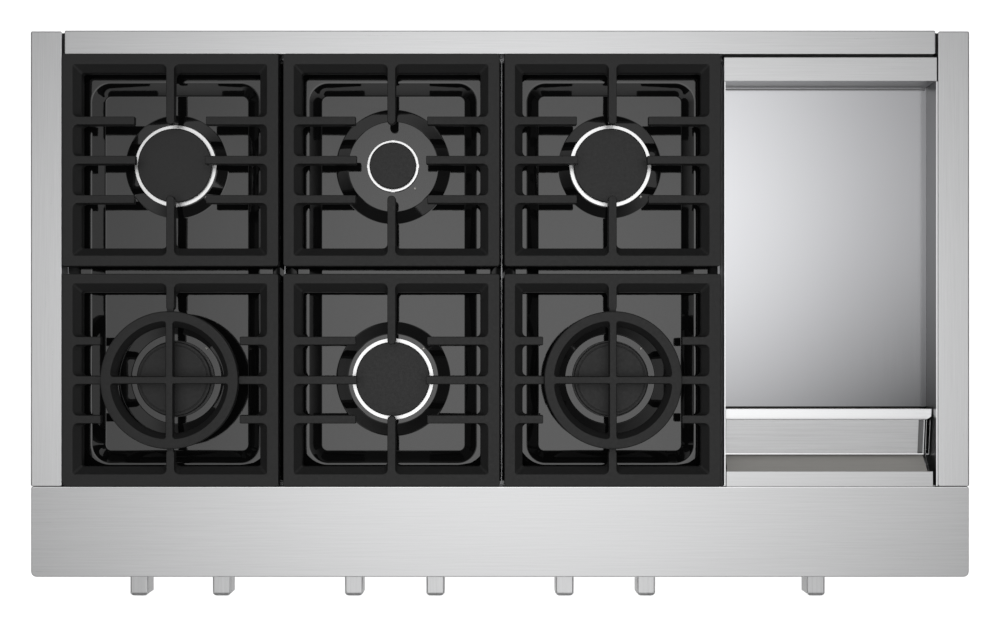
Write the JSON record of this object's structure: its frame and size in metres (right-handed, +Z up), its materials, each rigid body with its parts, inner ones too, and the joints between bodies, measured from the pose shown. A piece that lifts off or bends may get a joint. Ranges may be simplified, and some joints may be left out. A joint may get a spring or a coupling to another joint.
{
  "type": "commercial gas range top",
  "caption": "Drop-in gas range top with sealed burners under cast-iron grates, two wok rings, a flush steel griddle with a front grease tray, and push-and-turn knobs.",
  "frame": {"origin": "bottom centre of the whole part's box, on the worktop that carries it", "axes": "+Z up, +X to the right as the cook stands, knobs face -Y"},
  "size_m": [1.216, 0.743, 0.22],
  "materials": {
    "steel_case": "galvanised sheet, dull",
    "stainless": "brushed, grain along each length",
    "griddle_steel": "ground and polished cooking face",
    "enamel": "gloss black vitreous enamel",
    "cast_iron": "matte black enamelled casting",
    "cap_enamel": "matte black enamel",
    "burner_alloy": "machined casting",
    "knob_metal": "satin metal",
    "brass_parts": "turned and drawn",
    "tube_alloy": "drawn tube",
    "ceramic": "glazed ceramic",
    "module_plastic": "moulded",
    "screw_steel": "plated"
  },
  "bodies": {
    "chassis": {"base_pan": "steel_case", "left_side_panel": "steel_case", "right_side_panel": "steel_case", "back_panel": "steel_case", "front_bulkhead": "steel_case", "control_panel": "stainless", "left_side_trim": "stainless", "right_side_trim": "stainless", "rear_trim": "stainless", "burner_pan_left": "enamel", "burner_pan_middle": "enamel", "burner_pan_right": "enamel", "support_rails": "steel_case", "griddle_surround": "stainless", "griddle_plate": "griddle_steel", "griddle_burner": "tube_alloy", "knob_bezels": "knob_metal", "gas_manifold": "brass_parts", "valve_bodies": "brass_parts", "supply_tubes": "tube_alloy", "burner_bases": "burner_alloy", "burner_heads": "burner_alloy", "simmer_head": "burner_alloy", "burner_caps": "cap_enamel", "simmer_cap": "cap_enamel", "igniters": "ceramic", "gas_regulator": "brass_parts", "spark_module": "module_plastic", "case_screws": "screw_steel"},
    "valve_1": {"plug_1": "brass_parts"},
    "control_1": {"knob_1": "knob_metal", "stem_1": "brass_parts"},
    "valve_2": {"plug_2": "brass_parts"},
    "control_2": {"knob_2": "knob_metal", "stem_2": "brass_parts"},
    "valve_3": {"plug_3": "brass_parts"},
    "control_3": {"knob_3": "knob_metal", "stem_3": "brass_parts"},
    "valve_4": {"plug_4": "brass_parts"},
    "control_4": {"knob_4": "knob_metal", "stem_4": "brass_parts"},
    "valve_5": {"plug_5": "brass_parts"},
    "control_5": {"knob_5": "knob_metal", "stem_5": "brass_parts"},
    "valve_6": {"plug_6": "brass_parts"},
    "control_6": {"knob_6": "knob_metal", "stem_6": "brass_parts"},
    "valve_7": {"plug_7": "brass_parts"},
    "control_7": {"knob_7": "knob_metal", "stem_7": "brass_parts"},
    "grate_rear_left": {"grate_rear_left": "cast_iron"},
    "grate_rear_middle": {"grate_rear_middle": "cast_iron"},
    "grate_rear_right": {"grate_rear_right": "cast_iron"},
    "grate_front_left": {"grate_front_left": "cast_iron"},
    "grate_front_middle": {"grate_front_middle": "cast_iron"},
    "grate_front_right": {"grate_front_right": "cast_iron"},
    "wok_ring_left": {"wok_ring_left": "cast_iron"},
    "wok_ring_right": {"wok_ring_right": "cast_iron"},
    "grease_tray": {"grease_tray": "stainless", "tray_guard": "stainless"}
  },
  "joints": [
    {"name": "knob_1_turn", "type": "hinge", "parent": "chassis", "child": "valve_1", "pos_m": [-0.4815, -0.283, 0.111], "axis": [0, -1, 0], "range_deg": [0, 235]},
    {"name": "knob_1_push", "type": "slide", "parent": "valve_1", "child": "control_1", "axis": [0, 1, 0], "range_m": [0, 0.003], "stiffness_N_per_m": 2000},
    {"name": "knob_2_turn", "type": "hinge", "parent": "chassis", "child": "valve_2", "pos_m": [-0.3712, -0.283, 0.111], "axis": [0, -1, 0], "range_deg": [0, 235]},
    {"name": "knob_2_push", "type": "slide", "parent": "valve_2", "child": "control_2", "axis": [0, 1, 0], "range_m": [0, 0.003], "stiffness_N_per_m": 2000},
    {"name": "knob_3_turn", "type": "hinge", "parent": "chassis", "child": "valve_3", "pos_m": [-0.1945, -0.283, 0.111], "axis": [0, -1, 0], "range_deg": [0, 235]},
    {"name": "knob_3_push", "type": "slide", "parent": "valve_3", "child": "control_3", "axis": [0, 1, 0], "range_m": [0, 0.003], "stiffness_N_per_m": 2000},
    {"name": "knob_4_turn", "type": "hinge", "parent": "chassis", "child": "valve_4", "pos_m": [-0.0855, -0.283, 0.111], "axis": [0, -1, 0], "range_deg": [0, 235]},
    {"name": "knob_4_push", "type": "slide", "parent": "valve_4", "child": "control_4", "axis": [0, 1, 0], "range_m": [0, 0.003], "stiffness_N_per_m": 2000},
    {"name": "knob_5_turn", "type": "hinge", "parent": "chassis", "child": "valve_5", "pos_m": [0.0873, -0.283, 0.111], "axis": [0, -1, 0], "range_deg": [0, 235]},
    {"name": "knob_5_push", "type": "slide", "parent": "valve_5", "child": "control_5", "axis": [0, 1, 0], "range_m": [0, 0.003], "stiffness_N_per_m": 2000},
    {"name": "knob_6_turn", "type": "hinge", "parent": "chassis", "child": "valve_6", "pos_m": [0.1963, -0.283, 0.111], "axis": [0, -1, 0], "range_deg": [0, 235]},
    {"name": "knob_6_push", "type": "slide", "parent": "valve_6", "child": "control_6", "axis": [0, 1, 0], "range_m": [0, 0.003], "stiffness_N_per_m": 2000},
    {"name": "knob_7_turn", "type": "hinge", "parent": "chassis", "child": "valve_7", "pos_m": [0.4232, -0.283, 0.111], "axis": [0, -1, 0], "range_deg": [0, 290]},
    {"name": "knob_7_push", "type": "slide", "parent": "valve_7", "child": "control_7", "axis": [0, 1, 0], "range_m": [0, 0.003], "stiffness_N_per_m": 2000},
    {"name": "grate_rear_left_lift", "type": "slide", "parent": "chassis", "child": "grate_rear_left", "axis": [0, 0, 1], "range_m": [0, 0.15]},
    {"name": "grate_rear_middle_lift", "type": "slide", "parent": "chassis", "child": "grate_rear_middle", "axis": [0, 0, 1], "range_m": [0, 0.15]},
    {"name": "grate_rear_right_lift", "type": "slide", "parent": "chassis", "child": "grate_rear_right", "axis": [0, 0, 1], "range_m": [0, 0.15]},
    {"name": "grate_front_left_lift", "type": "slide", "parent": "chassis", "child": "grate_front_left", "axis": [0, 0, 1], "range_m": [0, 0.15]},
    {"name": "grate_front_middle_lift", "type": "slide", "parent": "chassis", "child": "grate_front_middle", "axis": [0, 0, 1], "range_m": [0, 0.15]},
    {"name": "grate_front_right_lift", "type": "slide", "parent": "chassis", "child": "grate_front_right", "axis": [0, 0, 1], "range_m": [0, 0.15]},
    {"name": "wok_ring_left_lift", "type": "slide", "parent": "grate_front_left", "child": "wok_ring_left", "axis": [0, 0, 1], "range_m": [0, 0.08]},
    {"name": "wok_ring_right_lift", "type": "slide", "parent": "grate_front_right", "child": "wok_ring_right", "axis": [0, 0, 1], "range_m": [0, 0.08]},
    {"name": "grease_tray_lift", "type": "slide", "parent": "chassis", "child": "grease_tray", "axis": [0, 0, 1], "range_m": [0, 0.12]}
  ]
}
